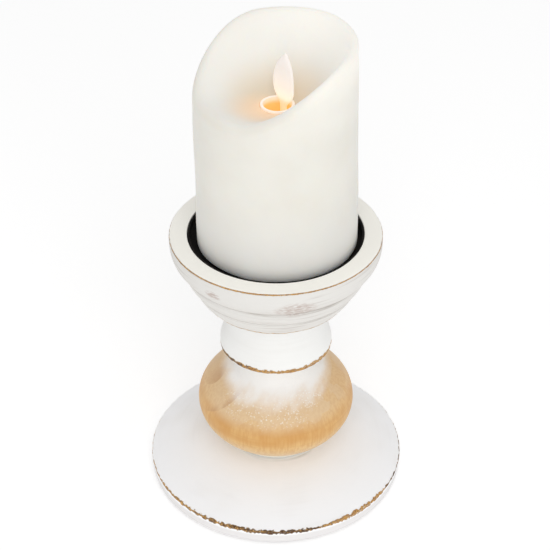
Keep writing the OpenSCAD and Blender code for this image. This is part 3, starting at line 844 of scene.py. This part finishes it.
def join_rings(name, rings, capped):
    """A mesh through rings of points: each ring closed, and the run of rings closed or capped."""
    count = len(rings[0])
    corners = [point for ring in rings for point in ring]
    faces = []
    for i in range(len(rings) - (1 if capped else 0)):
        here, after = i * count, (i + 1) % len(rings) * count
        for k in range(count):
            beside = (k + 1) % count
            faces.append((here + k, here + beside, after + beside, after + k))
    if capped:
        faces.append(tuple(reversed(range(count))))
        faces.append(tuple(range(len(corners) - count, len(corners))))
    mesh = bpy.data.meshes.new(name)
    mesh.from_pydata([(px * mm, py * mm, pz * mm) for px, py, pz in corners], [], faces)
    mesh.transform(in_candle)
    mesh.polygons.foreach_set("use_smooth", [True] * len(mesh.polygons))
    mesh.update()
    piece = bpy.data.objects.new(name, mesh)
    bpy.context.collection.objects.link(piece)
    return piece


def soft_wax(r, z, share, angle):
    """A point of the wax, leaning a little and moved as cast wax is never quite true."""
    grown = min(1, max(0, (r - hole_r - 1) / 6)) if share else 0
    px, py = r * math.cos(angle), r * math.sin(angle)
    bulged = (noise.noise((px * 0.05, py * 0.05, z * 0.04)) * 0.35 - 0.2) * grown
    lean = wax_lean * z / wax_h * share
    lean_angle = math.pi - candle_turn
    px += bulged * math.cos(angle) + lean * math.cos(lean_angle)
    py += bulged * math.sin(angle) + lean * math.sin(lean_angle)
    return (px, py, z + bulged * (0.7 if z > 5 else 0))


wax_slices = 288
wax_rings = []
for i in range(wax_slices):
    angle = math.tau * i / wax_slices
    section = wax_section(math.degrees(angle))
    wax_rings.append([soft_wax(r, z, share, angle) for r, z, share in section])
wax = join_rings("wax_pillar", wax_rings, capped=False)

cast_wax = Finish(
    "ivory_wax",
    {
        "Subsurface Weight": 0.35,
        "Subsurface Radius": (1.0, 0.72, 0.5),
        "Subsurface Scale": 3 * mm,
        "Specular IOR Level": 0.35,
        "Emission Strength": 1.0,
    },
)
x, y, z = cast_wax.place()
local_x, local_y = x - candle_x / mm, y
above = z - candle_foot / mm
spot = cast_wax.vector(x, y, z)
bloom = cast_wax.speckle(spot, 0.05, 3)
pores = cast_wax.speckle(spot, 0.8, 3, 3)

# painted light and shade: the hollow is painted paler than the outside, and greyish beige near
# the hole as painted shade warmed by the lamp; the lamp's glow left of the hole is painted in
# colour and emission, and the thin rim gets painted light in its emission
from_axis = (local_x * local_x + local_y * local_y) ** 0.5
in_hollow = above.ramp(wax_roof + 4, hole_h) * (1 - from_axis.ramp(31, 37.5))
from_hole = (from_axis * from_axis + (above - hole_h) * (above - hole_h)) ** 0.5
near = (1 - from_hole.ramp(8, 31)) * in_hollow
leftwards = from_hole + local_x * 0.4 + local_y * 0.4
glow = (1 - leftwards.ramp(1, 15)) * in_hollow
back_light = above.ramp(hole_h + 8, hole_h + 28) * (0.1 + local_x.ramp(-10, 24)) * 0.09 + 0.07
lip_light = above.ramp(hole_h - 8, hole_h + 8) * (1 - from_axis.ramp(35.5, 39)) * back_light
colour = cast_wax.mix(bloom.ramp(0.35, 0.75), swatch(231, 229, 221), swatch(228, 225, 216))
# painted shade: the wax darkens towards its foot, where it stands in the cup
colour = cast_wax.mix(0.6 - above.ramp(0, 50) * 0.6, colour, swatch(212, 211, 209))
colour = cast_wax.mix(in_hollow * 0.8, colour, swatch(238, 237, 232))
colour = cast_wax.mix(near * 0.75, colour, swatch(222, 202, 170))
painted_rim_light = cast_wax.mix(lip_light * (1 - near * 0.4), (0, 0, 0, 1), (1.0, 0.97, 0.93, 1))
cast_wax.vary(
    {
        "Base Color": cast_wax.mix(glow * 0.5, colour, swatch(248, 216, 180)),
        "Roughness": 0.42 + bloom * 0.12,
        "Emission Color": cast_wax.mix(glow * 0.8, painted_rim_light, (0.26, 0.13, 0.06, 1)),
    }
)
cast_wax.relief(bloom * 0.8 + pores * 0.05, 0.5)
wax.data.materials.append(cast_wax.material)
stand(wax, "wax_shell", "candle")

# ---- Flame ----
# A leaf moulded in thin frosted plastic, which hangs on a wire below the hole and swings.
# A lamp under it lights its foot: that light is painted into the leaf's emission, warm below and pale
# at the tip.

pivot = Vector(swing["pos_m"])
pivot_h = (pivot.z - candle_foot) / mm
flame_y = (in_candle.inverted() @ pivot).y / mm
leaf_low_h = 70.5
leaf_tip_h = (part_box("flame")[1][2] - candle_foot) / mm
leaf_half_w = 7.3
leaf_belly_h = 10.5
stem_half_w = 2.3
tail_h = (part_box("flame_magnet")[1][2] - candle_foot) / mm
tip = (1.5, leaf_tip_h - leaf_low_h)


def leaf_edge(side):
    belly = (leaf_half_w * side, leaf_belly_h)
    neck = (stem_half_w * side, 0)
    lower = sweep(neck, (neck[0], 3.4), (belly[0], 4), belly, 18)
    upper = sweep(belly, (belly[0], leaf_belly_h + 8), (tip[0] + 4.2 * side, tip[1] - 4), tip, 26)
    return lower + upper[1:]


flame_sides = 28
flame_rings = []
stem_rows = [((-stem_half_w, h), (stem_half_w, h)) for h in (tail_h, 50, pivot_h, 62, 66, 69)]
leaf_rows = [
    ((a[0], a[1] + leaf_low_h), (b[0], b[1] + leaf_low_h))
    for a, b in zip(leaf_edge(-1), leaf_edge(1))
]
for left, right in stem_rows + leaf_rows:
    middle, half = (left[0] + right[0]) / 2, max(0.05, (right[0] - left[0]) / 2)
    thick = min(1.05, 0.35 + half * 0.16)
    flame_rings.append(
        [
            (middle + half * math.cos(a), flame_y + thick * math.sin(a), left[1])
            for a in (math.tau * k / flame_sides for k in range(flame_sides))
        ]
    )
leaf = join_rings("flame_leaf", flame_rings, capped=True)


def rod_along_x(name, radius, half_length):
    """A rod about the flame's pivot, along the candle's own X."""
    rings = [
        [
            (px, flame_y + radius * math.cos(a), pivot_h + radius * math.sin(a))
            for a in (math.tau * k / 32 for k in range(32))
        ]
        for px in (-half_length, half_length)
    ]
    return join_rings(name, rings, capped=True)


hub_r, hub_half_w = 1.5, 2.5
bore_r, bore_half_w = 0.5, 4
hub = rod_along_x("flame_hub", hub_r, hub_half_w)
bore = rod_along_x("flame_bore", bore_r, bore_half_w)
for tool, operation in ((hub, "UNION"), (bore, "DIFFERENCE")):
    cut = leaf.modifiers.new(operation.lower(), "BOOLEAN")
    cut.operation = operation
    cut.object = tool
depsgraph = bpy.context.evaluated_depsgraph_get()
moulded = bpy.data.meshes.new_from_object(leaf.evaluated_get(depsgraph))
leaf.modifiers.clear()
leaf.data = moulded
for tool in (hub, bore):
    bpy.data.objects.remove(tool)

frosted = Finish("frosted_flame", {"Roughness": 0.45, "Emission Strength": 1.0})
x, y, z = frosted.place()
up = (z - candle_foot / mm - hole_h) / (leaf_tip_h - hole_h)
warm = frosted.node(
    "ShaderNodeValToRGB",
    {
        "stops": [
            (0.0, (0.42, 0.16, 0.03, 1)),
            (0.14, (0.36, 0.3, 0.22, 1)),
            (0.35, (0.2, 0.18, 0.16, 1)),
            (0.7, (0.08, 0.07, 0.08, 1)),
            (1.0, (0.06, 0.04, 0.04, 1)),
        ]
    },
    {"Fac": up},
)
haze = frosted.speckle(frosted.vector(x, y, z), 0.6, 2)
frosted.vary(
    {
        "Base Color": frosted.mix(haze, swatch(246, 240, 234), swatch(252, 248, 244)),
        "Emission Color": warm,
    }
)
frosted.relief(haze, 0.1)
leaf.data.materials.clear()
leaf.data.materials.append(frosted.material)
stand(leaf, "flame", "flame")

# ---- Candle's plastic parts ----
# Injection-moulded in ivory plastic: the can inside the wax, the tube that lines the
# flame's hole, the cradle, the cells' tube, the base and its twist-lock cover.


def moulded_plastic(name, light, dark, gloss=0.42):
    """Plain moulded plastic with a faint spark-eroded grain."""
    finish = Finish(name, {"Specular IOR Level": 0.45})
    x, y, z = finish.place()
    grain = finish.speckle(finish.vector(x, y, z), 2.4, 3)
    flow = finish.speckle(finish.vector(x * 0.05, y * 0.05, z * 0.02), 1, 1)
    colour = finish.mix(flow.ramp(0.35, 0.7), light, dark)
    finish.vary({"Base Color": colour, "Roughness": gloss + grain * 0.12})
    finish.relief(grain, 0.06)
    return finish


ivory_plastic = moulded_plastic("ivory_plastic", swatch(238, 234, 224), swatch(230, 225, 213))
dress(ivory_plastic, "core_housing", "battery_tube", "base_housing", "battery_cover")
black_plastic = moulded_plastic("black_plastic", swatch(30, 30, 31), swatch(42, 41, 41))
dress(black_plastic, "coil_bobbin", "switch_body", "switch_knob", "board_parts")

# the flame's tube and cradle get painted lamp light: a warm glow in their emission, and more orange
# deeper down the hole
lit_plastic = moulded_plastic("lamp_lit_plastic", swatch(244, 232, 212), swatch(240, 226, 204))
x, y, z = lit_plastic.place()
depth = (hole_h - 0.2 - (z - candle_foot / mm)) / 5
deep = depth.ramp(0, 0.6)
lit_plastic.vary(
    {
        "Base Color": lit_plastic.mix(deep, swatch(250, 242, 232), swatch(238, 208, 146)),
        "Emission Color": lit_plastic.mix(deep, (0.27, 0.23, 0.2, 1), (0.36, 0.2, 0.04, 1)),
        "Emission Strength": 0.6,
    }
)
dress(lit_plastic, "flame_tube", "flame_cradle")

# ---- Lamp, board and leads ----
# An amber lamp that leans towards the flame, and the small board, coil and leads that
# drive the flame's magnet.

amber = Finish("amber_lamp", {"Roughness": 0.15, "Emission Strength": 1.5})
x, y, z = amber.place()
swirl = amber.speckle(amber.vector(x, y, z), 0.5, 1)
amber.vary(
    {
        "Base Color": amber.mix(swirl, swatch(255, 214, 140), swatch(255, 196, 110)),
        "Emission Color": amber.mix(swirl, (1.0, 0.6, 0.22, 1), (1.0, 0.5, 0.16, 1)),
    }
)
dress(amber, "led_lamp")

solder_mask = Finish("green_board", {"Coat Weight": 0.3, "Roughness": 0.35})
x, y, z = solder_mask.place()
weave = solder_mask.speckle(solder_mask.vector(x * 2, y * 2, z * 2), 1, 2)
tracks = solder_mask.speckle(solder_mask.vector(x * 0.2, y * 0.2, z * 1.6), 1, 0, 2).ramp(0.5, 0.52)
colour = solder_mask.mix(tracks, swatch(22, 84, 48), swatch(36, 108, 62))
solder_mask.vary({"Base Color": solder_mask.mix(weave * 0.2, colour, swatch(16, 66, 38))})
solder_mask.relief(tracks, 0.05)
dress(solder_mask, "circuit_board")

enamelled_copper = Finish("enamelled_copper", {"Metallic": 1.0})
x, y, z = enamelled_copper.place()
turns_of_wire = (z * 24).math("SINE") * 0.5 + 0.5
copper = enamelled_copper.mix(turns_of_wire, swatch(120, 58, 30), swatch(214, 128, 78))
enamelled_copper.vary({"Base Color": copper, "Roughness": 0.5 - turns_of_wire * 0.2})
enamelled_copper.relief(turns_of_wire, 0.12)
dress(enamelled_copper, "coil_winding")

lead_rubber = moulded_plastic("red_lead", swatch(158, 34, 28), swatch(138, 26, 24), 0.5)
dress(lead_rubber, "hookup_wires")

nickel = Finish("nickel_plate", {"Metallic": 1.0})
x, y, z = nickel.place()
brushed = nickel.speckle(nickel.vector(x * 3, y * 3, z * 0.4), 1, 2)
nickel.vary(
    {
        "Base Color": nickel.mix(brushed, swatch(196, 194, 188), swatch(224, 222, 216)),
        "Roughness": 0.2 + brushed * 0.15,
    }
)
nickel.relief(brushed, 0.03)
dress(
    nickel, "pivot_wire", "flame_magnet", "top_contacts", "top_spring", "cover_contact", "cover_spring"
)

# ---- Cells ----
# Two AA cells in plain printed jackets, with their steel ends left bare.

cell_jacket = Finish("cell_jacket", {"Specular IOR Level": 0.6, "Metallic": 0.3})
x, y, z = cell_jacket.place()
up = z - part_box("cell_a")[0][2] / mm
jacket_low, jacket_high, print_line = 1.2, 48.6, 30
ends = 1 - up.ramp(jacket_low, jacket_low + 0.4) * (1 - up.ramp(jacket_high, jacket_high + 0.4))
print_band = up.ramp(print_line, print_line + 0.4)
film = cell_jacket.speckle(cell_jacket.vector(x, y, z), 1.2, 2)
colour = cell_jacket.mix(print_band, swatch(36, 66, 104), swatch(196, 150, 70))
cell_jacket.vary(
    {
        "Base Color": cell_jacket.mix(ends, colour, swatch(200, 200, 198)),
        "Roughness": 0.3 + film * 0.12,
    }
)
cell_jacket.relief(film, 0.02)
dress(cell_jacket, "cell_a", "cell_b")
